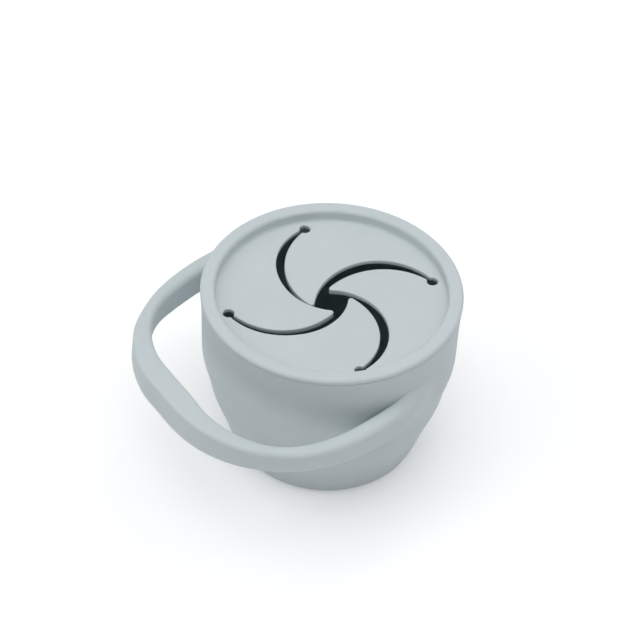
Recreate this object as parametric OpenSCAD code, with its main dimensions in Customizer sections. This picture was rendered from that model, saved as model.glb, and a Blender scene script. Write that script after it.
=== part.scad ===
// Toddler snack container: a soft silicone cup that folds down flat, with a carrying loop
// moulded on its sides and a press-in lid cut into four curved petals for a small hand.
// Millimetres. The origin is the centre of the base, +Z is up and the loop points along -X.

/* [Cup] */
// Height of the container with its lid on
total_h = 71.5; // [68:0.5:78]
// Outer radius of the straight upper wall
wall_r = 47; // [45:0.1:47.2]
// Thickness of the wall between the folds
wall_t = 2.4; // [1.8:0.1:2.6]
// Thickness of the upper edge that the lid plugs into
edge_t = 3.3; // [3:0.1:3.3]
// Thickness left in the two fold lines
fold_t = 1.1; // [0.8:0.1:1.6]
// Thickness of the floor
floor_t = 2.8; // [2:0.1:4]
// Height where the straight wall starts to turn in
shoulder_z = 45.5; // [44:0.5:48]
// Height of the upper fold line
upper_fold_z = 31; // [29:0.5:33]
// Outer radius at the upper fold line
upper_fold_r = 44.35; // [43.5:0.05:45]
// Height of the lower fold line
lower_fold_z = 12; // [10:0.5:14]
// Outer radius at the lower fold line
lower_fold_r = 38.75; // [38:0.05:39.5]
// Outer radius just above the rounded foot
foot_r = 36.35; // [35.5:0.05:37]
// Radius of the rounded edge round the base
foot_round = 3; // [2:0.25:4]

/* [Lid] */
// Outer radius of the lid's flange
flange_r = 47.5; // [47.2:0.1:49]
// Thickness of the flange at its outer edge
flange_t = 2.2; // [1.8:0.1:2.6]
// Radius of the inner edge of the raised ring
ring_in_r = 42.1; // [41.9:0.1:42.3]
// Depth of the petals below the top of the ring
recess = 4.6; // [4:0.1:6]
// Thickness of the petals
petal_t = 1.6; // [1.2:0.1:2]
// How deep the plug reaches into the cup
plug_depth = 11; // [9:0.5:14]
// How far the lid is turned from the loop
lid_turn = -20; // [-45:1:45]

/* [Slits] */
// Radius of the round hole that ends each slit
hole_r = 2.1; // [1.5:0.1:2.4]
// Distance of those holes from the centre
hole_dist = 38.2; // [37.6:0.1:38.4]
// Radius of each slit's outer edge
slit_out_r = 24; // [23.9:0.05:24.1]
// Radius of each slit's inner edge
slit_in_r = 25.8; // [25.7:0.05:25.9]
// Radius of the rounded petal tips
tip_round = 1.1; // [0.8:0.1:1.4]
// How many degrees the petals sag under their own weight
petal_sag = 4; // [0:0.5:6]

/* [Loop] */
// How far the middle of the loop's band reaches from the cup's centre
loop_reach = 68.5; // [65:0.5:73]
// Half the loop's width at the front, from the cup's centre to the middle of the band
front_half_w = 50.5; // [50.25:0.25:52.5]
// Half the loop's width at the back
back_half_w = 53; // [51.25:0.25:54]
// Height of the middle of the band where it leaves the cup
loop_z = 50; // [49:0.1:52]
// How much higher the middle of the band is at the grip
grip_lift = 2; // [0:0.5:5]
// How far the arms sag below a straight line from root to grip
arm_sag = 0.8; // [0:0.2:2]
// Height of the band where it leaves the cup
root_h = 11.8; // [11:0.2:13]
// Height of the band along its arms
arm_h = 11; // [9:0.2:12]
// Height of the band at the grip
grip_h = 12; // [10:0.2:13]
// Thickness of the band at its roots
root_t = 6.6; // [5:0.2:7]
// Thickness of the band along its arms
arm_t = 5; // [4.6:0.2:7]
// Thickness of the band at the grip
grip_t = 8.8; // [6:0.2:9.4]

/* [Hidden] */
$fn = 96;

silicone = "#bcc8cb";
silicone_light = "#c5d0d2";
silicone_band = "#b3bfc3";

seat_gap = 0.1;
cup_top = total_h - flange_t - seat_gap;
petal_z = total_h - recess - petal_t / 2;
edge_round = 0.9;
// the outer faces of cup and lid run into each other at the seam
seam_round = 0.25;
rim_round = 1.3;
ring_round = 1.5;
wall_flare = 0.3;
flare_h = 9;

// slopes of the outline, in millimetres of radius per millimetre of height
upper_fold_slope = 0.13;
lower_fold_slope = 0.28;
foot_slope = 0.36;
foot_z = 4;

// ---- helpers ----

// points along an arc, from angle a0 to a1
function arc(cx, cy, r, a0, a1, n = 8) =
    [for (i = [0 : n]) let (a = a0 + (a1 - a0) * i / n) [cx + r * cos(a), cy + r * sin(a)]];

// cubic from value r0 with slope m0 to value r1 with slope m1, over the length len
function blend(t, r0, m0, r1, m1, len) =
    r0 * (2 * t * t * t - 3 * t * t + 1) + r1 * (3 * t * t - 2 * t * t * t)
    + len * (m0 * (t * t * t - 2 * t * t + t) + m1 * (t * t * t - t * t));

function smooth(t) = let (c = min(1, max(0, t))) c * c * (3 - 2 * c);

function polar(r, a) = [r * cos(a), r * sin(a)];

// ---- outline of the cup ----

function outer_r(z) =
    z >= shoulder_z ? wall_r + wall_flare * smooth((z - cup_top + flare_h) / flare_h)
    : z >= upper_fold_z
        ? blend((z - upper_fold_z) / (shoulder_z - upper_fold_z), upper_fold_r, upper_fold_slope,
                wall_r, 0, shoulder_z - upper_fold_z)
    : z >= lower_fold_z
        ? blend((z - lower_fold_z) / (upper_fold_z - lower_fold_z), lower_fold_r, lower_fold_slope,
                upper_fold_r, upper_fold_slope, upper_fold_z - lower_fold_z)
    : z >= foot_z
        ? blend((z - foot_z) / (lower_fold_z - foot_z), foot_r, foot_slope,
                lower_fold_r, lower_fold_slope, lower_fold_z - foot_z)
    : foot_r - foot_slope * (foot_z - z);

// the wall thins to fold_t over a few millimetres at each fold line, on the inside only
fold_half = 3.2;
function near_fold(z, fold_z) = let (x = (z - fold_z) / fold_half) pow(max(0, 1 - x * x), 2);
edge_z0 = total_h - plug_depth - 4;
edge_z1 = total_h - plug_depth + 1;
function wall_at(z) =
    wall_t + (edge_t - wall_t) * smooth((z - edge_z0) / (edge_z1 - edge_z0))
    - (wall_t - fold_t) * (near_fold(z, upper_fold_z) + near_fold(z, lower_fold_z));

step_z = 1;
function heights(z0, z1) = let (n = ceil((z1 - z0) / step_z)) [for (i = [0 : n]) z0 + (z1 - z0) * i / n];

function inner_r(z) = min(wall_r, outer_r(z)) - wall_at(z);

// the closed section of the wall from z0 to z1
function wall_section(z0, z1) = concat(
    [for (z = heights(z0, z1)) [outer_r(z), z]],
    [for (z = heights(-z1, -z0)) [inner_r(-z), -z]]);

// ---- the cup, from the base up ----

module base_bowl() {
    foot_angle = atan(foot_slope);
    // centre of the foot's arc, which meets both the sloping side and the base
    foot_cx = outer_r(foot_round * (1 - sin(foot_angle))) - foot_round * cos(foot_angle);
    inner_round = 4;
    inner_lean = 5;
    inner_cx = outer_r(floor_t + inner_round) - wall_t - inner_round;
    color(silicone)
    rotate_extrude()
    polygon(concat(
        [[0, 0]],
        arc(foot_cx, foot_round, foot_round, -90, -foot_angle),
        [for (z = heights(foot_z, lower_fold_z)) [outer_r(z), z]],
        [for (z = heights(-lower_fold_z, -(floor_t + inner_round))) [inner_r(-z), -z]],
        arc(inner_cx, floor_t + inner_round, inner_round, -inner_lean, -90),
        [[0, floor_t]]));
}

module fold_band() {
    color(silicone_band)
    rotate_extrude()
    polygon(wall_section(lower_fold_z, upper_fold_z));
}

module cup_wall() {
    top_in = wall_r - edge_t;
    color(silicone)
    rotate_extrude()
    polygon(concat(
        [for (z = heights(upper_fold_z, shoulder_z)) [outer_r(z), z]],
        [for (z = heights(cup_top - flare_h, cup_top - 2 * seam_round)) [outer_r(z), z]],
        arc(wall_r + wall_flare - seam_round, cup_top - seam_round, seam_round, 0, 90, 3),
        arc(top_in + edge_round, cup_top - edge_round, edge_round, 90, 180),
        [for (z = heights(-edge_z1, -edge_z0)) [inner_r(-z), -z]],
        [for (z = heights(-shoulder_z, -upper_fold_z)) [inner_r(-z), -z]]));
}

// ---- the loop ----

// The band's middle line is a chain of arcs that meet smoothly. u runs out from the cup and v
// across it. It leaves the wall at a slant, runs along the arm, and turns round a corner into
// a straight grip. The front corner is rounder than the back one. In each list the front comes
// first.
half_w = [front_half_w, back_half_w];
root_turn = [14, 26];
root_bend_r = [100, 28];
widest_u = [22, 11];
arm_bend_r = [62, 105];
arm_turn = [19, 11.7];
pivot_u = 9;
// how far the band's top leans out for each millimetre of height, along the arms and at the grip
arm_lean = [0.24, 0];
grip_lean = -0.06;

function arm_end(i) = [widest_u[i] + arm_bend_r[i] * sin(arm_turn[i]),
                       half_w[i] - arm_bend_r[i] * (1 - cos(arm_turn[i]))];
function corner_r(i) = (loop_reach - arm_end(i)[0]) / (1 - sin(arm_turn[i]));
function arc_len(r, a) = r * a * PI / 180;
function root_len(i) = arc_len(root_bend_r[i], root_turn[i]);
function arm_len(i) = root_len(i) + arc_len(arm_bend_r[i], arm_turn[i]);
function corner_len(i) = arm_len(i) + arc_len(corner_r(i), 90 - arm_turn[i]);
function bar_v(i) = arm_end(i)[1] - corner_r(i) * cos(arm_turn[i]);

// length of one side of the band, from its root to the middle of the grip
function side_len(i) = corner_len(i) + bar_v(i);

// point and heading of the band's middle line, d along side i
function side_part(d, i) =
    d <= root_len(i)
        ? let (a = root_turn[i] - d / root_bend_r[i] * 180 / PI)
          [widest_u[i] - root_bend_r[i] * sin(a), half_w[i] - root_bend_r[i] * (1 - cos(a)), a]
    : d <= arm_len(i)
        ? let (a = (d - root_len(i)) / arm_bend_r[i] * 180 / PI)
          [widest_u[i] + arm_bend_r[i] * sin(a), half_w[i] - arm_bend_r[i] * (1 - cos(a)), -a]
    : d <= corner_len(i)
        ? let (a = arm_turn[i] + (d - arm_len(i)) / corner_r(i) * 180 / PI)
          [arm_end(i)[0] + corner_r(i) * (sin(a) - sin(arm_turn[i])),
           arm_end(i)[1] - corner_r(i) * (cos(arm_turn[i]) - cos(a)), -a]
    : [loop_reach, bar_v(i) - (d - corner_len(i)), -90];

// height of the middle of the band: level at the root, then a sag and a rise to the grip
function band_z(u) = let (x = max(0, (u - pivot_u) / (loop_reach - pivot_u)))
    loop_z + grip_lift * x * x - 4 * arm_sag * x * (1 - x);

// one ring of the band: a rounded rectangle, t thick and h high, at a point with heading a.
// Near the root its inner face keeps clear of the wall.
ring_steps = 3;
loop_clear = 0.2;
function off_wall(v, u) =
    u > 2 * pivot_u ? v
    : max(v, sqrt(pow(wall_r + loop_clear, 2) - pow(max(0, u - pivot_u), 2)));
function band_ring(u, v, a, t, h, round, lean, side) =
    let (out = [sin(-a), cos(a)])
    [for (q = [0 : 3], i = [0 : ring_steps])
        let (b = 90 * q + 90 * i / ring_steps,
             sx = (q == 0 || q == 3) ? 1 : -1,
             sy = (q < 2) ? 1 : -1,
             y = sy * (h / 2 - round) + round * sin(b),
             x = sx * (t / 2 - round) + round * cos(b) + lean * y)
        [-(u + out[0] * x), -side * off_wall(v + out[1] * x, u), band_z(u) + y]];

// where the band is thinnest, and where it has grown to the grip's size
thin_at = 0.43;
thick_at = 0.9;
root_round = 2.4;
grip_round = 1.6;
function band_t(w) =
    w < thin_at ? root_t + (arm_t - root_t) * smooth(w / thin_at)
                : arm_t + (grip_t - arm_t) * smooth((w - thin_at) / (thick_at - thin_at));
function band_h(w) =
    w < thin_at ? root_h + (arm_h - root_h) * smooth(w / thin_at)
                : arm_h + (grip_h - arm_h) * smooth((w - thin_at) / (thick_at - thin_at));
function band_round(w) = root_round + (grip_round - root_round) * smooth(w);
lean_at = 0.4;
lean_from = 0.1;
function band_lean(w, i) =
    w < lean_at ? arm_lean[i] * smooth((w - lean_from) / (lean_at - lean_from))
                : arm_lean[i] + (grip_lean - arm_lean[i]) * smooth((w - lean_at) / (thick_at - lean_at));

// rings down one side of the loop, from the fraction w0 of its length to w1
function side_rings(i, side, w0, w1, n) =
    [for (k = [0 : n])
        let (w = w0 + (w1 - w0) * k / n, p = side_part(w * side_len(i), i))
        band_ring(p[0], p[1], p[2], band_t(w), band_h(w), band_round(w), band_lean(w, i), side)];

// closed solid through a list of rings
module sweep(rings) {
    n = len(rings);
    m = len(rings[0]);
    polyhedron(
        points = [for (ring = rings) for (p = ring) p],
        faces = concat(
            [[for (j = [0 : m - 1]) j]],
            [for (i = [0 : n - 2]) for (j = [0 : m - 1])
                [i * m + j, (i + 1) * m + j, (i + 1) * m + (j + 1) % m]],
            [for (i = [0 : n - 2]) for (j = [0 : m - 1])
                [i * m + j, (i + 1) * m + (j + 1) % m, i * m + (j + 1) % m]],
            [[for (j = [m - 1 : -1 : 0]) (n - 1) * m + j]]));
}

// The band bends at its roots about one cross axis. The loop ends there in a round knuckle,
// and each root holds a matching hollow.
knuckle_gap = 0.3;
cut_size = 60;
module cross_round(r) {
    translate([-pivot_u, 0, loop_z])
    rotate([90, 0, 0])
    cylinder(r = r, h = 3 * cut_size, center = true);
}
module behind_pivot() {
    translate([-pivot_u, -1.5 * cut_size, loop_z - cut_size / 2])
    cube([cut_size, 3 * cut_size, cut_size]);
}

side_rings_n = 26;
module carry_loop() {
    front = side_rings(0, 1, 0, 1, side_rings_n);
    back = side_rings(1, -1, 0, 1, side_rings_n);
    back_to_root = [for (k = [len(back) - 2 : -1 : 0]) back[k]];
    color(silicone_light)
    difference() {
        sweep(concat(front, back_to_root));
        difference() {
            behind_pivot();
            cross_round(root_h / 2);
        }
    }
}

// Each root fills the wedge between the cup's wall and the line the band's outer face runs on
// along, until the two meet. Its inner face follows the wall and its end is hollowed for the
// knuckle. Away from the knuckle its edges sink softly into the wall.
root_rings_n = 11;
root_levels_n = 12;
root_back_u = 14.5;
root_tip_t = 0.3;
root_tip_slope = 0.6;
root_crown = 2.5;
root_sink = 0.9;
tip_lower = 1.4;
wall_gap = 0.02;

function wall_v(u) = sqrt(pow(wall_r + wall_gap, 2) - u * u);

function root_out_v(u, i) =
    let (r = root_bend_r[i] + root_t / 2, u1 = widest_u[i] - r * sin(root_turn[i]),
         v1 = half_w[i] - root_bend_r[i] + r * cos(root_turn[i]), run = u1 + root_back_u)
    u > u1
        ? half_w[i] - root_bend_r[i] + sqrt(r * r - pow(u - widest_u[i], 2))
        : blend((u + root_back_u) / run, wall_v(root_back_u) + root_tip_t, root_tip_slope,
                v1, tan(root_turn[i]), run);

// how far the root's surface lies below its crown at height z: round-edged at the knuckle,
// f = 1, and bell-shaped nearer the tip
function root_drop(z, half, thick, f) =
    let (over = max(0, abs(z) - half + root_round),
         edge = min(0.8 * thick, root_round - sqrt(max(0, pow(root_round, 2) - over * over))),
         bell = root_sink * thick * smooth((abs(z) - root_crown) / (half - root_crown)))
    bell + (edge - bell) * smooth(2 * f - 1);

// one ring of the root, at the fraction f of its length: up the inner face, down the outer
function root_ring(f, side) =
    let (i = side > 0 ? 0 : 1,
         hollow_r = root_h / 2 + knuckle_gap,
         half = root_h / 2 - tip_lower * (1 - f),
         levels = [for (j = [0 : root_levels_n]) -half * cos(180 * j / root_levels_n)],
         ends = [for (z = levels) pivot_u - sqrt(hollow_r * hollow_r - z * z)],
         us = [for (e = ends) -root_back_u + (e + root_back_u) * f])
    concat(
        [for (j = [0 : root_levels_n]) [-us[j], -side * wall_v(us[j]), loop_z + levels[j]]],
        [for (j = [root_levels_n : -1 : 0])
            let (thick = root_out_v(us[j], i) - wall_v(us[j]),
                 drop = root_drop(levels[j], half, thick, f))
            [-us[j], -side * (root_out_v(us[j], i) - drop), loop_z + levels[j]]]);

module loop_root(side) {
    rings = [for (k = [0 : root_rings_n]) root_ring(k / root_rings_n, side)];
    m = len(rings[0]);
    last = root_rings_n * m;
    points = [for (ring = rings) for (p = ring) p];
    skin = concat(
        [for (j = [0 : root_levels_n - 1]) for (q = [0, 1])
            q == 0 ? [j, j + 1, m - 2 - j] : [j, m - 2 - j, m - 1 - j]],
        [for (i = [0 : root_rings_n - 1]) for (j = [0 : m - 1]) for (q = [0, 1])
            let (n = (j + 1) % m, a = i * m, b = (i + 1) * m)
            q == 0 ? [a + j, b + j, b + n] : [a + j, b + n, a + n]],
        [for (j = [0 : root_levels_n - 1]) for (q = [0, 1])
            q == 0 ? [last + j, last + m - 2 - j, last + j + 1]
                   : [last + j, last + m - 1 - j, last + m - 2 - j]]);
    color(silicone_light)
    polyhedron(points = points, faces = side > 0 ? skin : [for (f = skin) [f[2], f[1], f[0]]]);
}
module loop_root_front() loop_root(1);
module loop_root_back() loop_root(-1);

// ---- the lid ----

// Each slit lies between two arcs. Their centres are given from the slit's own end hole.
slit_out_centre = [18.1, -26.4];
slit_in_centre = [19.9, -40.4];
chord_dist = hole_dist * cos(45);
hinge_from = -6.3;
hinge_to = hole_dist * sin(45) - hole_r - 0.3;
hinge_past = 1.5;
hinge_over = 0.2;

function hole_angle(k) = lid_turn + 90 * (k - 1);
function out_centre(k) = polar(slit_out_centre[0], hole_angle(k) + slit_out_centre[1]);
function in_centre(k) = polar(slit_in_centre[0], hole_angle(k) + slit_in_centre[1]);

// everything on the inner side of the hinge chord of petal k
module inside_chord(k, extra = 0) {
    rotate(hole_angle(k) + 45)
    translate([chord_dist + extra - 2 * flange_r, -flange_r])
    square(2 * flange_r);
}

// where petal k and the slit beside it lie, which the fixed part of the lid leaves open
module petal_window(k) {
    intersection() {
        translate(out_centre(k + 1)) circle(slit_out_r);
        inside_chord(k);
    }
}

// centre of a circle of radius r0 that touches the inside of circle a and the outside of circle b
function touch_point(a, ra, b, rb) =
    let (d = norm(b - a), x = (ra * ra - rb * rb + d * d) / (2 * d),
         y = sqrt(ra * ra - x * x), e = (b - a) / d)
    [a + x * e + y * [-e[1], e[0]], a + x * e - y * [-e[1], e[0]]];

module petal_outline(k) {
    a = in_centre(k + 1);
    b = out_centre(k);
    tips = touch_point(a, slit_in_r - tip_round, b, slit_out_r + tip_round);
    tip = norm(tips[0]) < norm(tips[1]) ? tips[0] : tips[1];
    on_a = a + (tip - a) * slit_in_r / norm(tip - a);
    on_b = b + (tip - b) * slit_out_r / norm(tip - b);
    past = tip + (on_a - tip) * 3 + (on_b - tip) * 3;
    difference() {
        intersection() {
            translate(a) circle(slit_in_r);
            inside_chord(k, petal_t);
        }
        translate(b) circle(slit_out_r);
        translate(polar(hole_dist, hole_angle(k + 1))) circle(hole_r);
        polygon([on_a, tip, on_b, past]);
    }
    translate(tip) circle(tip_round);
}

// petal k, its hinge edge rounded about the chord, turned down by its sag
module petal(k) {
    color(silicone_light)
    translate([0, 0, petal_z])
    rotate([0, 0, hole_angle(k) + 45])
    translate([chord_dist, 0, 0])
    rotate([0, -petal_sag, 0])
    translate([-chord_dist, 0, 0])
    intersection() {
        translate([0, 0, -petal_t])
        linear_extrude(2 * petal_t)
        rotate(-hole_angle(k) - 45)
        petal_outline(k);
        translate([chord_dist, hinge_to, 0])
        rotate([90, 0, 0])
        linear_extrude(hinge_to + flange_r)
        union() {
            translate([-2 * flange_r, -petal_t / 2]) square([2 * flange_r, petal_t]);
            circle(petal_t / 2, $fn = 32);
        }
    }
}
module petal_1() petal(1);
module petal_2() petal(2);
module petal_3() petal(3);
module petal_4() petal(4);

plug_r = wall_r - edge_t - 0.25;
plug_in_r = 41.2;
plug_z = total_h - plug_depth;
bead_up = 0.12;
bead_h = 1.6;
hinge_gap = 0.3;

function bead(z) = [[plug_r, z - bead_h / 2], [plug_r + bead_up, z - bead_h / 4],
                    [plug_r + bead_up, z + bead_h / 4], [plug_r, z + bead_h / 2]];

module lid_ring() {
    sheet_top = petal_z + petal_t / 2;
    sheet_low = petal_z - petal_t / 2;
    inner_fillet = 1.2;
    low_fillet = 0.8;
    tip = 0.8;
    under_r = flange_r - 0.15;
    sheet_r = ring_in_r - inner_fillet;
    sheet_into = 0.3;
    color(silicone)
    difference() {
        union() {
            rotate_extrude()
            polygon(concat(
                arc(sheet_r, sheet_top + inner_fillet, inner_fillet, -90, 0, 6),
                arc(ring_in_r + ring_round, total_h - ring_round, ring_round, 180, 90),
                arc(flange_r - rim_round, total_h - rim_round, rim_round, 90, 0),
                arc(under_r - seam_round, total_h - flange_t + seam_round, seam_round, 0, -90, 3),
                [[plug_r, total_h - flange_t]],
                [for (p = [3 : -1 : 0]) bead(plug_z + 6)[p]],
                [for (p = [3 : -1 : 0]) bead(plug_z + 3)[p]],
                arc(plug_r - tip, plug_z + tip, tip, 0, -90, 5),
                arc(plug_in_r + tip, plug_z + tip, tip, -90, -180, 5),
                arc(plug_in_r - low_fillet, sheet_low - low_fillet, low_fillet, 0, 90, 5)));
            translate([0, 0, sheet_low])
            linear_extrude(petal_t)
            difference() {
                circle(sheet_r + sheet_into);
                for (k = [1 : 4]) {
                    petal_window(k);
                    translate(polar(hole_dist, hole_angle(k))) circle(hole_r);
                }
            }
        }
        for (k = [1 : 4])
            translate([0, 0, petal_z])
            rotate([0, 0, hole_angle(k) + 45])
            translate([chord_dist, hinge_to + hinge_over, 0])
            rotate([90, 0, 0])
            cylinder(r = petal_t / 2 + hinge_gap, h = hinge_to + hinge_over - hinge_from + hinge_past,
                     $fn = 32);
    }
}

base_bowl();
fold_band();
cup_wall();
loop_root_front();
loop_root_back();
carry_loop();
lid_ring();
petal_1();
petal_2();
petal_3();
petal_4();
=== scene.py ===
import math
import bpy
import bmesh
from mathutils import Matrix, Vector
from mathutils.geometry import delaunay_2d_cdt


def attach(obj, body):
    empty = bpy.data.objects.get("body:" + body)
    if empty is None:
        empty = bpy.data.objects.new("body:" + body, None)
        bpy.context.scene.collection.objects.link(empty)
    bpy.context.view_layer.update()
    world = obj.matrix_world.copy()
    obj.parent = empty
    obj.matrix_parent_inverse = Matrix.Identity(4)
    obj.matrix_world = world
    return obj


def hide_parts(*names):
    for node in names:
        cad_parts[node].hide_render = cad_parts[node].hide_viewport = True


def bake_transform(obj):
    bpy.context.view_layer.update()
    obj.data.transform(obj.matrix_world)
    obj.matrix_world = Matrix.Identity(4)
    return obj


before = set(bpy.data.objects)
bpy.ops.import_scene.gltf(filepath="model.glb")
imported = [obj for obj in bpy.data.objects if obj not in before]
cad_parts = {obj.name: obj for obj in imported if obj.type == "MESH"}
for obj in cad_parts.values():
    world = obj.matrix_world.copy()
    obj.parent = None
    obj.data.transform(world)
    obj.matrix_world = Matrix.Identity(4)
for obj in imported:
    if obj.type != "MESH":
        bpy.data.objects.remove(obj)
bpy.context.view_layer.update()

mm = 0.001      # the shapes below are written in mm


# small shared tools

def ease(t):
    t = min(1.0, max(0.0, t))
    return t * t * (3 - 2 * t)


def mix(a, b, t):
    return a + (b - a) * t


def hermite(t, v0, s0, v1, s1, run):
    # from v0 to v1 as t goes from 0 to 1, with slopes s0 and s1 over a length of run
    return (v0 * (2 * t ** 3 - 3 * t ** 2 + 1) + v1 * (3 * t ** 2 - 2 * t ** 3)
            + run * (s0 * (t ** 3 - 2 * t ** 2 + t) + s1 * (t ** 3 - t ** 2)))


def arcPoints(cx, cy, r, a0, a1, steps=8):
    points = []
    for i in range(steps + 1):
        a = math.radians(a0 + (a1 - a0) * i / steps)
        points.append((cx + r * math.cos(a), cy + r * math.sin(a)))
    return points


def pieceFromBmesh(name, bm, material):
    bmesh.ops.recalc_face_normals(bm, faces=bm.faces)
    mesh = bpy.data.meshes.new(name)
    bm.to_mesh(mesh)
    bm.free()
    for face in mesh.polygons:
        face.use_smooth = True
    mesh.materials.append(material)
    piece = bpy.data.objects.new(name, mesh)
    bpy.context.scene.collection.objects.link(piece)
    return piece


def revolve(profile, steps, closed=False):
    # the profile is a row of (radius, height) pairs in mm
    bm = bmesh.new()
    rings = []
    for radius, height in [(r * mm, h * mm) for r, h in profile]:
        if radius == 0:
            rings.append([bm.verts.new((0, 0, height))])
        else:
            rings.append([bm.verts.new((radius * math.cos(2 * math.pi * i / steps),
                                        radius * math.sin(2 * math.pi * i / steps), height))
                          for i in range(steps)])
    pairs = list(zip(rings[:-1], rings[1:]))
    if closed:
        pairs.append((rings[-1], rings[0]))
    for low, high in pairs:
        for i in range(steps):
            j = (i + 1) % steps
            if len(low) == 1:
                bm.faces.new((low[0], high[j], high[i]))
            elif len(high) == 1:
                bm.faces.new((low[i], low[j], high[0]))
            else:
                bm.faces.new((low[i], low[j], high[j], high[i]))
    return bm


# silicone

siliconeLook = {
    "cupColour": (0.545, 0.605, 0.620),
    "lidColour": (0.560, 0.618, 0.630),
    "loopColour": (0.550, 0.612, 0.622),
    "paintedInsideShade": (0.66, 0.74, 0.73),     # painted shade: the cup's colour is multiplied by this inside
    "roughness": 0.62,
    "roughnessDrift": 0.05,
    "specular": 0.35,
    "sheen": 0.06,
    "sheenRoughness": 0.5,
    "mottle": 0.018,       # how far the colour drifts over the surface
    "mottleSize": 60.0,
    "mottleDetail": 3.0,
    "mottleRange": (0.3, 0.7),
    "waveSize": 180.0,
    "waveDetail": 1.0,
    "waveDepth": 0.00006,
    "grainSize": 2600.0,
    "grainDetail": 2.0,
    "grainDepth": 0.00002,
    "softness": 0.08,
    "softRadius": (0.0022, 0.0024, 0.0024),
}


def noiseNode(nodes, links, place, size, detail):
    noise = nodes.new("ShaderNodeTexNoise")
    noise.inputs["Scale"].default_value = size
    noise.inputs["Detail"].default_value = detail
    links.new(place.outputs["Object"], noise.inputs["Vector"])
    return noise


def bumpNode(nodes, links, noise, depth):
    bump = nodes.new("ShaderNodeBump")
    bump.inputs["Strength"].default_value = 1.0
    bump.inputs["Distance"].default_value = depth
    links.new(noise.outputs["Fac"], bump.inputs["Height"])
    return bump


def siliconeMaterial(name, colour, paintedInsideShade=None):
    look = siliconeLook
    material = bpy.data.materials.new(name)
    material.use_nodes = True
    nodes = material.node_tree.nodes
    links = material.node_tree.links
    shader = nodes["Principled BSDF"]
    shader.inputs["Specular IOR Level"].default_value = look["specular"]
    shader.inputs["Subsurface Weight"].default_value = look["softness"]
    shader.inputs["Subsurface Radius"].default_value = look["softRadius"]
    shader.inputs["Subsurface Scale"].default_value = 1.0
    shader.inputs["Sheen Weight"].default_value = look["sheen"]
    shader.inputs["Sheen Roughness"].default_value = look["sheenRoughness"]

    place = nodes.new("ShaderNodeTexCoord")
    drift = noiseNode(nodes, links, place, look["mottleSize"], look["mottleDetail"])
    ramp = nodes.new("ShaderNodeValToRGB")
    changes = (-look["mottle"], look["mottle"])
    for stop, at, change in zip(ramp.color_ramp.elements, look["mottleRange"], changes):
        stop.position = at
        stop.color = (*(c * (1 + change) for c in colour), 1)
    links.new(drift.outputs["Fac"], ramp.inputs["Fac"])
    if paintedInsideShade:      # painted shade: deeper in tone where the mesh's "inside" value says so
        inside = nodes.new("ShaderNodeAttribute")
        inside.attribute_name = "inside"
        paintedShadeMix = nodes.new("ShaderNodeMix")      # its colours are inputs 6 and 7 and output 2
        paintedShadeMix.data_type = "RGBA"
        paintedShadeMix.blend_type = "MULTIPLY"
        paintedShadeMix.inputs[7].default_value = (*paintedInsideShade, 1)
        links.new(inside.outputs["Fac"], paintedShadeMix.inputs[0])
        links.new(ramp.outputs["Color"], paintedShadeMix.inputs[6])
        links.new(paintedShadeMix.outputs[2], shader.inputs["Base Color"])
    else:
        links.new(ramp.outputs["Color"], shader.inputs["Base Color"])

    # the gloss of a moulded face is a little uneven
    patches = nodes.new("ShaderNodeMapRange")
    patches.inputs["To Min"].default_value = look["roughness"] - look["roughnessDrift"]
    patches.inputs["To Max"].default_value = look["roughness"] + look["roughnessDrift"]
    links.new(drift.outputs["Fac"], patches.inputs["Value"])
    links.new(patches.outputs["Result"], shader.inputs["Roughness"])

    wave = noiseNode(nodes, links, place, look["waveSize"], look["waveDetail"])
    grain = noiseNode(nodes, links, place, look["grainSize"], look["grainDetail"])
    waveBump = bumpNode(nodes, links, wave, look["waveDepth"])
    grainBump = bumpNode(nodes, links, grain, look["grainDepth"])
    links.new(waveBump.outputs["Normal"], grainBump.inputs["Normal"])
    links.new(grainBump.outputs["Normal"], shader.inputs["Normal"])
    return material


cupSilicone = siliconeMaterial("cupSilicone", siliconeLook["cupColour"], siliconeLook["paintedInsideShade"])
lidSilicone = siliconeMaterial("lidSilicone", siliconeLook["lidColour"])
loopSilicone = siliconeMaterial("loopSilicone", siliconeLook["loopColour"])
print("materials made")


# the folding cup

cupShape = {
    "wallRadius": 47.0, "shoulder": 45.5,      # the wall is upright above the shoulder
    "upperFold": (31.0, 44.35, 0.13),          # height, radius and slope
    "lowerFold": (12.0, 38.75, 0.28),
    "foot": (4.0, 36.35, 0.36),
    "footRound": 3.0,
    # a shallow hollow under the base: how far in from the foot's rounding, and how high
    "baseHollow": ((2.6, 0.35), (2.2, 0.28), (1.7, 0.07), (1.3, 0.0)),
    "wall": 2.4, "foldWall": 1.1, "foldHalf": 3.2,      # the wall is thinner near a fold
    "foldDip": 0.08, "foldDipHalf": 1.8,
    "edge": 3.3, "edgeStart": 56.5, "edgeFull": 61.5,      # and thicker near the mouth
    "top": 69.2, "topRound": 0.9, "seamRound": 0.25,
    "flare": 0.3, "flareHeight": 9.0,
    "floor": 2.8, "floorRound": 4.0, "floorRoundFrom": -8.0,
    "shadeFrom": 63.5, "shadeRun": 16.0,       # where the painted shade inside starts to darken, and over what height
    "rowHeight": 0.6, "steps": 192,
}


def cupRadius(z):
    c = cupShape
    uz, ur, us = c["upperFold"]
    lz, lr, ls = c["lowerFold"]
    fz, fr, fs = c["foot"]
    if z >= c["shoulder"]:
        r = c["wallRadius"] + c["flare"] * ease((z - c["top"] + c["flareHeight"]) / c["flareHeight"])
    elif z >= uz:
        r = hermite((z - uz) / (c["shoulder"] - uz), ur, us, c["wallRadius"], 0, c["shoulder"] - uz)
    elif z >= lz:
        r = hermite((z - lz) / (uz - lz), lr, ls, ur, us, uz - lz)
    elif z >= fz:
        r = hermite((z - fz) / (lz - fz), fr, fs, lr, ls, lz - fz)
    else:
        r = fr - fs * (fz - z)
    for foldZ in (uz, lz):
        x = (z - foldZ) / c["foldDipHalf"]
        if abs(x) < 1:
            r -= c["foldDip"] * (1 - x * x) ** 2
    return r


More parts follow.
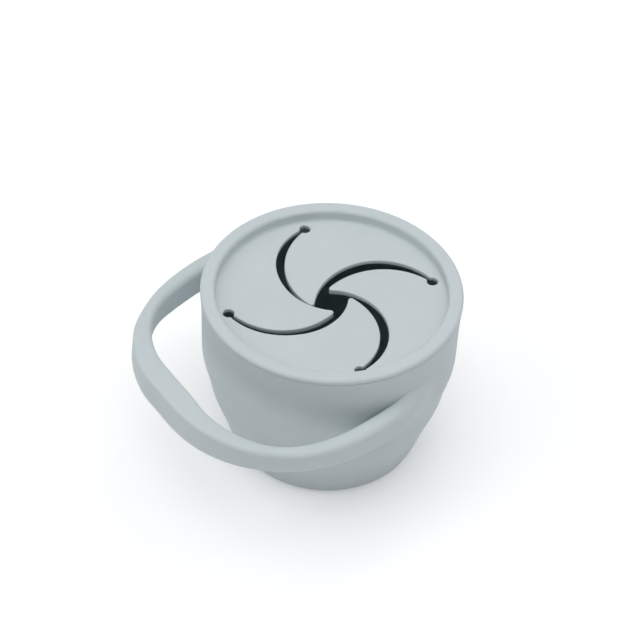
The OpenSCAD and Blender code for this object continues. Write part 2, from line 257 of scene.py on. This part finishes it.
def cupWall(z):
    c = cupShape
    t = c["wall"] + (c["edge"] - c["wall"]) * ease((z - c["edgeStart"]) / (c["edgeFull"] - c["edgeStart"]))
    for foldZ in (c["upperFold"][0], c["lowerFold"][0]):
        x = (z - foldZ) / c["foldHalf"]
        if abs(x) < 1:
            t -= (c["wall"] - c["foldWall"]) * (1 - x * x) ** 2
    return t


def buildCup():
    c = cupShape
    slant = math.degrees(math.atan(c["foot"][2]))
    footMeets = c["footRound"] * (1 - math.sin(math.radians(slant)))
    footX = cupRadius(footMeets) - c["footRound"] * math.cos(math.radians(slant))
    hollowTop = c["baseHollow"][0][1]
    profile = [(0.0, hollowTop), (footX / 2, hollowTop)]
    profile += [(footX - inBy, height) for inBy, height in c["baseHollow"]]
    profile += arcPoints(footX, c["footRound"], c["footRound"], -90, -slant, 10)
    seam = c["seamRound"]
    z = c["foot"][0]
    while z < c["top"] - seam - c["rowHeight"] / 3:
        profile.append((cupRadius(z), z))
        z += c["rowHeight"]
    profile += arcPoints(c["wallRadius"] + c["flare"] - seam, c["top"] - seam, seam, 0, 90, 4)
    topIn = c["wallRadius"] - c["edge"]
    profile += arcPoints(topIn + c["topRound"], c["top"] - c["topRound"], c["topRound"], 90, 180, 6)
    z = c["top"] - c["topRound"] - c["rowHeight"]
    wallFoot = c["floor"] + c["floorRound"]
    while z > wallFoot:
        profile.append((min(c["wallRadius"], cupRadius(z)) - cupWall(z), z))
        z -= c["rowHeight"]
    inX = cupRadius(wallFoot) - c["wall"] - c["floorRound"]
    profile += arcPoints(inX, wallFoot, c["floorRound"], c["floorRoundFrom"], -90)
    profile += [(inX * f, c["floor"]) for f in (0.6, 0.2, 0.0)]
    cup = pieceFromBmesh("foldingCup", revolve(profile, c["steps"]), cupSilicone)

    # painted shade: "inside" rises from 0 at the mouth to 1 lower down, on the inner faces only
    inside = cup.data.attributes.new("inside", "FLOAT", "POINT")
    for vertex in cup.data.vertices:
        x, y, z = (v / mm for v in vertex.co)
        isInner = z > c["floor"] / 2 and math.hypot(x, y) < cupRadius(z) - c["foldWall"] / 2
        inside.data[vertex.index].value = ease((c["shadeFrom"] - z) / c["shadeRun"]) if isInner else 0.0
    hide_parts("base_bowl", "fold_band", "cup_wall")
    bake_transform(cup)


buildCup()
print("cup made")


# the lid: a ring that plugs into the cup

lidShape = {
    "outer": 47.5, "top": 71.5, "rimRound": 1.3,
    "flange": 2.2, "underRound": 0.25, "underIn": 0.15,
    "ringInner": 42.1, "ringRound": 1.5, "fillet": 1.2,
    "recess": 4.75, "sheet": 1.8, "lowFillet": 0.8,
    "lap": (0.5, 0.03),      # how far the ring runs in under the leaves, and how far below their tops
    "plugOuter": 43.45, "plugInner": 41.2, "plugLow": 60.5, "plugTip": 0.8, "plugChamfer": 0.4,
    "beads": (66.5, 63.5), "beadUp": 0.12, "beadHalf": 0.8, "beadSteps": 6,
    "steps": 224,
}


def buildLidRing():
    s = lidShape
    top, under = s["top"], s["top"] - s["flange"]
    sheetTop = top - s["recess"]
    sheetLow = sheetTop - s["sheet"]
    sheetEdge = s["ringInner"] - s["fillet"]
    lapIn, lapDown = s["lap"]
    profile = [(sheetEdge - lapIn, sheetTop - lapDown)]
    profile += arcPoints(sheetEdge, sheetTop + s["fillet"], s["fillet"], -90, 0, 12)
    profile += arcPoints(s["ringInner"] + s["ringRound"], top - s["ringRound"], s["ringRound"], 180, 90, 10)
    profile += arcPoints(s["outer"] - s["rimRound"], top - s["rimRound"], s["rimRound"], 90, 0, 10)
    underX = s["outer"] - s["underIn"] - s["underRound"]
    profile += arcPoints(underX, under + s["underRound"], s["underRound"], 0, -90, 4)
    profile.append((s["plugOuter"] + s["plugChamfer"], under))
    profile.append((s["plugOuter"], under - s["plugChamfer"]))
    for beadZ in s["beads"]:
        for i in range(s["beadSteps"] + 1):
            f = i / s["beadSteps"]
            bulge = s["beadUp"] * math.sin(math.pi * f)
            profile.append((s["plugOuter"] + bulge, beadZ + s["beadHalf"] * (1 - 2 * f)))
    tip = s["plugTip"]
    profile += arcPoints(s["plugOuter"] - tip, s["plugLow"] + tip, tip, 0, -90, 6)
    profile += arcPoints(s["plugInner"] + tip, s["plugLow"] + tip, tip, -90, -180, 6)
    fillet = s["lowFillet"]
    profile += arcPoints(s["plugInner"] - fillet, sheetLow - fillet, fillet, 0, 90, 6)
    ring = pieceFromBmesh("lidRing", revolve(profile, s["steps"], closed=True), lidSilicone)
    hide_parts("lid_ring")
    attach(ring, "lid")


buildLidRing()
print("lid ring made")


# the lid's sheet: four leaves between curved slits, each joined to the ring along its back

leafShape = {
    "turn": -20.0, "quarter": 90.0,      # each leaf is a quarter turn on from the last
    "holeRadius": 2.1, "holeAt": 38.2, "tipRound": 1.1,
    "outerArc": (24.0, 18.1, -26.4),     # radius, its centre's distance, and its angle from the hole's
    "innerArc": (25.8, 19.9, -40.4),
    "slitSide": 30.0,                    # a slit's end is the crossing further from a point this far round
    "edge": 42.6, "edgeRound": 0.32, "roundSteps": (30, 60, 90), "cornerLimit": 0.6,
    "spacing": 0.9, "arcSpacing": 0.35,  # along the outline, in mm and as a part of the radius
    "grid": 1.7, "gridRow": 0.866, "gridClear": 0.55,
    "bendFrom": -2.0, "bendTo": 5.0, "sag": 4.0,
    "tipAt": 33.0, "tipThicker": 0.7,
    "drawBack": (0.0, 2.06, 0.0, 1.3),   # how far each tip has crept back and along
    "drawAlong": (0.0, -0.67, 0.0, 0.5),
}


def polar(r, degrees):
    return Vector((r * math.cos(math.radians(degrees)), r * math.sin(math.radians(degrees))))


def circleMeets(a, ra, b, rb):      # the two points where two circles cross
    d = (b - a).length
    x = (ra * ra - rb * rb + d * d) / (2 * d)
    y = math.sqrt(max(0.0, ra * ra - x * x))
    e = (b - a) / d
    side = Vector((-e.y, e.x))
    return a + e * x + side * y, a + e * x - side * y


def arcBetween(centre, start, end, clockwise):      # from start, stopping short of end
    r = (start - centre).length
    a0 = math.atan2(start.y - centre.y, start.x - centre.x)
    a1 = math.atan2(end.y - centre.y, end.x - centre.x)
    if clockwise:
        while a1 > a0:
            a1 -= 2 * math.pi
    else:
        while a1 < a0:
            a1 += 2 * math.pi
    spacing = min(leafShape["spacing"], r * leafShape["arcSpacing"])
    steps = max(2, math.ceil(abs(a1 - a0) * r / spacing))
    points = []
    for i in range(steps):
        a = a0 + (a1 - a0) * i / steps
        points.append(centre + Vector((r * math.cos(a), r * math.sin(a))))
    return points


def leafOutline(k):
    s = leafShape
    here = s["turn"] + s["quarter"] * k
    there = here + s["quarter"]
    holeA, holeB = polar(s["holeAt"], here), polar(s["holeAt"], there)
    outR, outD, outA = s["outerArc"]
    inR, inD, inA = s["innerArc"]
    concave = polar(outD, here + outA)
    convex = polar(inD, there + inA)
    tips = circleMeets(convex, inR - s["tipRound"], concave, outR + s["tipRound"])
    tip = min(tips, key=lambda p: p.length)
    onConvex = convex + (tip - convex).normalized() * inR
    onConcave = concave + (tip - concave).normalized() * outR
    besideA, besideB = polar(s["holeAt"], here - s["slitSide"]), polar(s["holeAt"], there - s["slitSide"])
    aMeets = circleMeets(concave, outR, holeA, s["holeRadius"])
    startConcave = max(aMeets, key=lambda p: (p - besideA).length)
    bMeets = circleMeets(convex, inR, holeB, s["holeRadius"])
    endConvex = max(bMeets, key=lambda p: (p - besideB).length)
    outerA, outerB = polar(s["edge"], here), polar(s["edge"], there)
    topA = holeA + polar(s["holeRadius"], here)
    topB = holeB + polar(s["holeRadius"], there)
    line = [topA]
    line += arcBetween(Vector((0, 0)), outerA, outerB, False)
    line += [outerB]
    line += arcBetween(holeB, topB, endConvex, True)
    line += arcBetween(convex, endConvex, onConvex, False)
    line += arcBetween(tip, onConvex, onConcave, False)
    line += arcBetween(concave, onConcave, startConcave, True)
    line += arcBetween(holeA, startConcave, topA, True)
    return line


def insetLine(line, depth):      # the same line, moved inwards
    moved = []
    n = len(line)
    for i in range(n):
        before = (line[i] - line[i - 1]).normalized()
        after = (line[(i + 1) % n] - line[i]).normalized()
        inward = Vector((-before.y - after.y, before.x + after.x))
        inward.normalize()
        cosine = max(leafShape["cornerLimit"], inward.dot(Vector((-after.y, after.x))))
        moved.append(line[i] + inward * (depth / cosine))
    return moved


def insideLine(p, line):      # whether a point lies inside a closed line
    inside = False
    n = len(line)
    for i in range(n):
        a, b = line[i], line[(i + 1) % n]
        if (a.y > p.y) != (b.y > p.y) and p.x < a.x + (b.x - a.x) * (p.y - a.y) / (b.y - a.y):
            inside = not inside
    return inside


def fillFlat(flat):      # small triangles, so that the face can bend
    s = leafShape
    grid = s["grid"]
    clear = grid * s["gridClear"]
    inner = []
    limit = int(s["edge"] / (grid * s["gridRow"])) + 1
    for row in range(-limit, limit + 1):
        for col in range(-limit, limit + 1):
            p = Vector((grid * (col + 0.5 * (row % 2)), grid * s["gridRow"] * row))
            if p.length < s["edge"] and insideLine(p, flat) and min((p - q).length for q in flat) > clear:
                inner.append(p)
    n = len(flat)
    border = [(i, (i + 1) % n) for i in range(n)]
    points, _, faces, cameFrom, _, _ = delaunay_2d_cdt(flat + inner, border, [list(range(n))], 1, 1e-5)
    spot = {}      # which filled point each outline point became
    for index, sources in enumerate(cameFrom):
        for source in sources:
            spot[source] = index
    return points, faces, spot


def buildLeaf(k):
    s = leafShape
    top = lidShape["top"] - lidShape["recess"]
    low = top - lidShape["sheet"]
    outline = leafOutline(k)
    n = len(outline)
    r = s["edgeRound"]
    flatPoints, flatFaces, spot = fillFlat(insetLine(outline, r))

    across = polar(1.0, s["turn"] + s["quarter"] * (k + 0.5))
    along = Vector((-across.y, across.x))
    chord = s["holeAt"] * math.cos(math.radians(s["quarter"] / 2))
    sag = math.tan(math.radians(s["sag"]))

    def placed(p, z):      # where a point of the flat leaf goes, with its sag and its crept tip
        inward = chord - p.dot(across)
        run = s["bendTo"] - s["bendFrom"]
        f = (inward - s["bendFrom"]) / run
        if f <= 0:
            drop = 0.0
        elif f < 1:
            drop = sag * run * (f ** 3 - f ** 4 / 2)
        else:
            drop = sag * (inward - s["bendTo"] + run / 2)
        far = max(0.0, inward / s["tipAt"]) ** 2
        q = p + across * (s["drawBack"][k] * far) + along * (s["drawAlong"][k] * far)
        thicker = s["tipThicker"] * far * (top - z) / (top - low)
        return (q.x * mm, q.y * mm, (z - drop - thicker) * mm)

    bm = bmesh.new()
    topVerts = [bm.verts.new(placed(p, top)) for p in flatPoints]
    lowVerts = [bm.verts.new(placed(p, low)) for p in flatPoints]
    for face in flatFaces:
        bm.faces.new([topVerts[i] for i in face])
        bm.faces.new([lowVerts[i] for i in reversed(face)])
    loops = [[topVerts[spot[i]] for i in range(n)]]
    roundings = [(top, -1, degrees) for degrees in s["roundSteps"]]
    roundings += [(low, 1, degrees) for degrees in reversed(s["roundSteps"])]
    for level, way, degrees in roundings:
        a = math.radians(degrees)
        z = level + way * r * (1 - math.cos(a))
        loops.append([bm.verts.new(placed(p, z)) for p in insetLine(outline, r * (1 - math.sin(a)))])
    loops.append([lowVerts[spot[i]] for i in range(n)])
    for upper, lower in zip(loops[:-1], loops[1:]):
        for i in range(n):
            j = (i + 1) % n
            bm.faces.new((upper[i], lower[i], lower[j], upper[j]))
    leaf = pieceFromBmesh("lidLeaf%d" % (k + 1), bm, lidSilicone)
    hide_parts("petal_%d" % (k + 1))
    z = (top + low) / 2
    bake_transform(leaf)


for k in range(4):
    buildLeaf(k)
print("lid leaves made")


# the carrying loop: u runs out from the cup and v across it, and each side has its own values, front first

loopShape = {
    "reach": 69.6, "halfWidth": (50.5, 52.6), "widest": (23.0, 10.2),
    "rootTurn": (9.2, 26.7), "rootRadius": (156.0, 27.2),
    "armTurn": (15.2, 24.1), "armRadius": (72.8, 82.1),
    "rootHeight": 50.15, "gripLift": 3.7, "armSag": 1.1, "levelTo": 9.0,
    # the tail runs into the wall between these values of u, and meets it at this u and v and slope
    "tailFrom": -15.5, "tailTo": 8.0, "tailStep": 1.0, "tailMeets": (-14.5, 45.0, 0.60),
    "softFrom": -3.0, "slopeReach": 0.2,
    # tables over u: how far the tail stands out of the wall, and half its height
    "bellHeight": (((-15.5, 0.0), (-12, 0.5), (-9, 1.4), (-5, 2.6), (-2, 3.8), (2, 5.0), (8, 5.6)),
                   ((-15.5, 0.0), (-12, 0.8), (-9, 2.2), (-5, 4.5), (-2, 6.2), (2, 7.9), (8, 9.4))),
    "bellHalf": ((-15.5, 9.4), (-10, 9.0), (-4, 8.3), (2, 7.3), (8, 6.4)),
    "bellFlat": 3.0, "sunkBy": 0.05, "intoWall": 1.0,
    # tables from 0 at the root to 1 at the middle of the grip
    "thick": ((0.0, 6.6), (0.1, 6.6), (0.25, 6.8), (0.43, 6.1), (0.55, 5.5), (0.7, 6.7), (0.85, 8.2),
              (0.92, 9.05), (1.0, 9.05)),
    "tall": ((0.0, 11.8), (0.2, 11.7), (0.45, 11.0), (0.6, 11.1), (0.85, 12.9), (1.0, 12.9)),
    "roundOuterTop": ((0.0, 2.6), (0.5, 2.4), (0.75, 1.2), (1.0, 0.9)),
    "roundInnerTop": ((0.0, 2.6), (0.5, 2.4), (0.75, 1.9), (1.0, 1.7)),
    "roundLow": ((0.0, 2.6), (0.5, 2.5), (1.0, 2.6)),
    "lean": (((0.1, 0.0), (0.4, 0.16), (0.6, 0.09), (0.9, -0.02), (1.0, -0.02)),
             ((0.1, 0.0), (0.4, 0.08), (0.6, -0.09), (0.9, -0.02), (1.0, -0.02))),
    "roundLimit": 0.48,      # no corner is rounder than this part of the thickness
    "flatPoints": (0.33, 0.67), "sidePoints": (0.25, 0.5, 0.75),
    "ringGap": 1.6, "cornerSteps": 7,
}


def tableValue(table, x):      # a smooth line through the table's points
    if x <= table[0][0]:
        return table[0][1]
    if x >= table[-1][0]:
        return table[-1][1]
    for i in range(len(table) - 1):
        (x0, v0), (x1, v1) = table[i], table[i + 1]
        if x <= x1:
            before = table[i - 1] if i else table[i]
            after = table[i + 2] if i + 2 < len(table) else table[i + 1]
            s0 = (v1 - before[1]) / (x1 - before[0])
            s1 = (after[1] - v0) / (after[0] - x0)
            return hermite((x - x0) / (x1 - x0), v0, s0, v1, s1, x1 - x0)


def sideSizes(i):
    # one side of the loop is an arc at the root, an arc along the arm, a corner and a straight bar
    s = loopShape
    radius, turn = s["armRadius"][i], math.radians(s["armTurn"][i])
    rootLength = s["rootRadius"][i] * math.radians(s["rootTurn"][i])
    armU = s["widest"][i] + radius * math.sin(turn)
    armV = s["halfWidth"][i] - radius * (1 - math.cos(turn))
    corner = (s["reach"] - armU) / (1 - math.sin(turn))
    cornerEnd = rootLength + radius * turn + corner * (math.pi / 2 - turn)
    barV = armV - corner * math.cos(turn)
    return radius, turn, rootLength, armU, armV, corner, cornerEnd, barV


def sidePoint(d, i):      # where the middle line is at a distance d from the root, and which way it turns
    s = loopShape
    radius, turn, rootLength, armU, armV, corner, cornerEnd, barV = sideSizes(i)
    if d <= rootLength:
        a = math.radians(s["rootTurn"][i]) - d / s["rootRadius"][i]
        return (s["widest"][i] - s["rootRadius"][i] * math.sin(a),
                s["halfWidth"][i] - s["rootRadius"][i] * (1 - math.cos(a)), a)
    if d <= rootLength + radius * turn:
        a = (d - rootLength) / radius
        return s["widest"][i] + radius * math.sin(a), s["halfWidth"][i] - radius * (1 - math.cos(a)), -a
    if d <= cornerEnd:
        a = turn + (d - rootLength - radius * turn) / corner
        return (armU + corner * (math.sin(a) - math.sin(turn)),
                armV - corner * (math.cos(turn) - math.cos(a)), -a)
    return s["reach"], barV - (d - cornerEnd), -math.pi / 2


def bandHeight(u):      # level at the root, then a slight sag and a rise to the grip
    s = loopShape
    x = max(0.0, (u - s["levelTo"]) / (s["reach"] - s["levelTo"]))
    return s["rootHeight"] + s["gripLift"] * x * x - 4 * s["armSag"] * x * (1 - x)


def tailLine(u, i):      # the band's outer face near the root
    s = loopShape
    r = s["rootRadius"][i] + s["thick"][0][1] / 2
    rootTurn = math.radians(s["rootTurn"][i])
    u1 = s["widest"][i] - r * math.sin(rootTurn)
    v1 = s["halfWidth"][i] - s["rootRadius"][i] + r * math.cos(rootTurn)
    u0, v0, slope0 = s["tailMeets"]
    if u > u1:
        return s["halfWidth"][i] - s["rootRadius"][i] + math.sqrt(r * r - (u - s["widest"][i]) ** 2)
    if u > u0:
        return hermite((u - u0) / (u1 - u0), v0, slope0, v1, math.tan(rootTurn), u1 - u0)
    return v0 + slope0 * (u - u0)


def softTail(u, x, y, thick, tall, i):
    # where a point of the band's section goes when the band has sunk into the cup's wall
    s = loopShape
    half = tableValue(s["bellHalf"], u)
    z = bandHeight(u) + y * half / (tall / 2)
    wall = math.sqrt(cupRadius(z) ** 2 - u * u)
    g = 1 - ease((abs(z - bandHeight(u)) - s["bellFlat"]) / (half - s["bellFlat"]))
    crest = wall - s["sunkBy"] + tableValue(s["bellHeight"][i], u) * g
    return mix(wall - s["intoWall"], crest, min(1.0, max(0.0, x / thick + 0.5))), z


def bandSection(thick, tall, rounds, lean):
    # rounds: outer top, inner top, inner low, outer low
    points = []
    steps = loopShape["cornerSteps"]
    corners = ((1, 1, 0), (-1, 1, 90), (-1, -1, 180), (1, -1, 270))
    for (sx, sy, a0), r in zip(corners, rounds):
        r = min(r, thick * loopShape["roundLimit"])
        for i in range(steps + 1):
            a = math.radians(a0 + 90 * i / steps)
            x = sx * (thick / 2 - r) + r * math.cos(a)
            y = sy * (tall / 2 - r) + r * math.sin(a)
            points.append((x + lean * y, y))
        if sy * sx > 0:      # then along the top or the bottom
            for f in loopShape["flatPoints"]:
                x = sx * (thick / 2 - r) * (1 - 2 * f)
                points.append((x + lean * sy * tall / 2, sy * tall / 2))
        else:                # or down or up a side
            for f in loopShape["sidePoints"]:
                y = sy * (tall / 2 - r) * (1 - 2 * f)
                points.append((sx * thick / 2 + lean * y, y))
    return points


def halfRings(i, side):      # from the wall to the middle of the grip
    s = loopShape
    rings = []

    def section(thick, tall, w):
        low = tableValue(s["roundLow"], w)
        rounds = (tableValue(s["roundOuterTop"], w), tableValue(s["roundInnerTop"], w), low, low)
        return bandSection(thick, tall, rounds, tableValue(s["lean"][i], w))

    u = s["tailFrom"]
    thick, tall = s["thick"][0][1], s["tall"][0][1]
    step = s["slopeReach"]
    while u < s["tailTo"]:
        a = math.atan2(tailLine(u + step, i) - tailLine(u - step, i), 2 * step)
        cu, cv = u + math.sin(a) * thick / 2, tailLine(u, i) - math.cos(a) * thick / 2
        sunk = ease((s["tailTo"] - u) / (s["tailTo"] - s["softFrom"]))
        ring = []
        for x, y in section(thick, tall, 0.0):
            bandU, bandV = cu - math.sin(a) * x, cv + math.cos(a) * x
            softV, softZ = softTail(u, x, y, thick, tall, i)
            pu, pv, pz = mix(bandU, u, sunk), mix(bandV, softV, sunk), mix(bandHeight(u) + y, softZ, sunk)
            ring.append((-pu * mm, -side * pv * mm, pz * mm))
        rings.append(ring)
        u += s["tailStep"]

    # the free band starts one step on from the tail's last section
    radius = s["rootRadius"][i]
    start = math.asin((s["widest"][i] - s["tailTo"] - s["tailStep"]) / radius)
    first = radius * (math.radians(s["rootTurn"][i]) - start)
    cornerEnd, barV = sideSizes(i)[-2:]
    length = cornerEnd + barV
    count = int((length - first) / s["ringGap"])
    for j in range(count + 1):
        d = first + (length - first) * j / count
        w = d / length
        cu, cv, a = sidePoint(d, i)
        ring = []
        for x, y in section(tableValue(s["thick"], w), tableValue(s["tall"], w), w):
            pu, pv, pz = cu - math.sin(a) * x, cv + math.cos(a) * x, bandHeight(cu) + y
            ring.append((-pu * mm, -side * pv * mm, pz * mm))
        rings.append(ring)
    return rings


def buildLoop():
    front = halfRings(0, 1)
    back = halfRings(1, -1)
    rings = front + list(reversed(back[:-1]))
    bm = bmesh.new()
    made = [[bm.verts.new(p) for p in ring] for ring in rings]
    n = len(made[0])
    for a, b in zip(made[:-1], made[1:]):
        for i in range(n):
            j = (i + 1) % n
            bm.faces.new((a[i], a[j], b[j], b[i]))
    bm.faces.new(made[0])
    bm.faces.new(list(reversed(made[-1])))
    loop = pieceFromBmesh("carryLoop", bm, loopSilicone)
    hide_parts("carry_loop", "loop_root_front", "loop_root_back")
    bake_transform(loop)


buildLoop()
print("carrying loop made")


# floor, light and camera, in metres

studio = {
    "floorHalf": 3.0, "floorDrop": 0.0002, "floorRoughness": 0.9,
    "floorColour": (0.93, 0.93, 0.935),
    "floorLift": ((0.2, 0.22), (1.3, 0.60)),      # how far out, and how much whiter the floor is seen there
    "worldColour": (0.95, 0.97, 1.0), "worldStrength": 0.40,
    # each lamp: power, size, and how far right of, behind and above the object as the camera sees it
    "lamps": {"overhead": (6.6, 1.0, (0.0, 0.0, 1.2)),
              "left": (2.3, 0.8, (-0.85, -0.25, 0.85)),
              "right": (1.35, 0.8, (0.85, -0.3, 1.0))},
    "lampsAimAt": (0.0, 0.0, 0.04),
}

cameraSpot = {
    "distance": 0.700, "azimuth": -37.0, "elevation": 43.765, "roll": 2.949,
    "lookAt": (0.0, 0.0, 0.0715), "slideRight": -0.004380, "slideUp": -0.011800,
    "lens": 109.45, "sensor": 36.0, "clipStart": 0.01,
}


def cameraSwitch(nodes, links):
    # 1 for what the camera, a reflection or a clear part sees directly
    path = nodes.new("ShaderNodeLightPath")
    first = nodes.new("ShaderNodeMath")
    first.operation = "MAXIMUM"
    links.new(path.outputs["Is Camera Ray"], first.inputs[0])
    links.new(path.outputs["Is Glossy Ray"], first.inputs[1])
    both = nodes.new("ShaderNodeMath")
    both.operation = "MAXIMUM"
    links.new(first.outputs[0], both.inputs[0])
    links.new(path.outputs["Is Transmission Ray"], both.inputs[1])
    return both.outputs[0]


def buildFloor():
    s = studio
    bm = bmesh.new()
    half = s["floorHalf"]
    corners = ((-half, -half), (half, -half), (half, half), (-half, half))
    bm.faces.new([bm.verts.new((x, y, -s["floorDrop"])) for x, y in corners])
    floorPaint = bpy.data.materials.new("floorPaint")
    floorPaint.use_nodes = True
    nodes, links = floorPaint.node_tree.nodes, floorPaint.node_tree.links
    shader = nodes["Principled BSDF"]
    shader.inputs["Base Color"].default_value = (*s["floorColour"], 1)
    shader.inputs["Roughness"].default_value = s["floorRoughness"]
    shader.inputs["Specular IOR Level"].default_value = 0.0
    glow = nodes.new("ShaderNodeEmission")
    glow.inputs["Color"].default_value = (1, 1, 1, 1)
    place = nodes.new("ShaderNodeTexCoord")
    farOut = nodes.new("ShaderNodeVectorMath")
    farOut.operation = "LENGTH"
    links.new(place.outputs["Object"], farOut.inputs[0])
    (nearAt, nearLift), (farAt, farLift) = s["floorLift"]
    whiter = nodes.new("ShaderNodeMapRange")
    whiter.inputs["From Min"].default_value = nearAt
    whiter.inputs["From Max"].default_value = farAt
    whiter.inputs["To Min"].default_value = nearLift
    whiter.inputs["To Max"].default_value = farLift
    links.new(farOut.outputs["Value"], whiter.inputs["Value"])
    lift = nodes.new("ShaderNodeMath")
    lift.operation = "MULTIPLY"
    links.new(whiter.outputs["Result"], lift.inputs[1])
    links.new(cameraSwitch(nodes, links), lift.inputs[0])
    links.new(lift.outputs[0], glow.inputs["Strength"])
    together = nodes.new("ShaderNodeAddShader")
    links.new(shader.outputs[0], together.inputs[0])
    links.new(glow.outputs[0], together.inputs[1])
    links.new(together.outputs[0], nodes["Material Output"].inputs["Surface"])
    floor = pieceFromBmesh("studioFloor", bm, floorPaint)


def buildLight():
    s = studio
    world = bpy.data.worlds.new("studioWorld")
    bpy.context.scene.world = world
    world.use_nodes = True
    nodes, links = world.node_tree.nodes, world.node_tree.links
    soft = nodes["Background"]
    soft.inputs["Color"].default_value = (*s["worldColour"], 1)
    soft.inputs["Strength"].default_value = s["worldStrength"]
    seen = nodes.new("ShaderNodeBackground")
    seen.inputs["Color"].default_value = (1, 1, 1, 1)
    seen.inputs["Strength"].default_value = 1.0
    choose = nodes.new("ShaderNodeMixShader")
    links.new(cameraSwitch(nodes, links), choose.inputs[0])
    links.new(soft.outputs[0], choose.inputs[1])
    links.new(seen.outputs[0], choose.inputs[2])
    links.new(choose.outputs[0], nodes["World Output"].inputs["Surface"])

    a = math.radians(cameraSpot["azimuth"])
    for name, (power, size, (right, behind, up)) in s["lamps"].items():
        lamp = bpy.data.lights.new(name + "Lamp", "AREA")
        lamp.energy = power
        lamp.size = size
        holder = bpy.data.objects.new(name + "Lamp", lamp)
        bpy.context.scene.collection.objects.link(holder)
        holder.location = (right * math.cos(a) - behind * math.sin(a),
                           right * math.sin(a) + behind * math.cos(a), up)
        aim = Vector(s["lampsAimAt"]) - holder.location
        holder.rotation_euler = aim.to_track_quat("-Z", "Y").to_euler()


def buildCamera():
    c = cameraSpot
    a, e, roll = (math.radians(c[key]) for key in ("azimuth", "elevation", "roll"))
    back = Vector((math.sin(a) * math.cos(e), -math.cos(a) * math.cos(e), math.sin(e)))
    right = Vector((math.cos(a), math.sin(a), 0))
    up = back.cross(right)
    rolledRight = right * math.cos(roll) + up * math.sin(roll)
    rolledUp = up * math.cos(roll) - right * math.sin(roll)
    lens = bpy.data.cameras.new("productCamera")
    lens.lens = c["lens"]
    lens.sensor_width = c["sensor"]
    lens.clip_start = c["clipStart"]
    camera = bpy.data.objects.new("productCamera", lens)
    bpy.context.scene.collection.objects.link(camera)
    camera.location = (Vector(c["lookAt"]) + back * c["distance"] + rolledRight * c["slideRight"]
                       + rolledUp * c["slideUp"])
    turn = camera.matrix_world.to_3x3()
    turn.col[0], turn.col[1], turn.col[2] = rolledRight, rolledUp, back
    camera.rotation_euler = turn.to_euler()
    bpy.context.scene.camera = camera


bpy.context.scene.view_settings.view_transform = "Standard"
buildFloor()
buildLight()
buildCamera()
print("studio made")
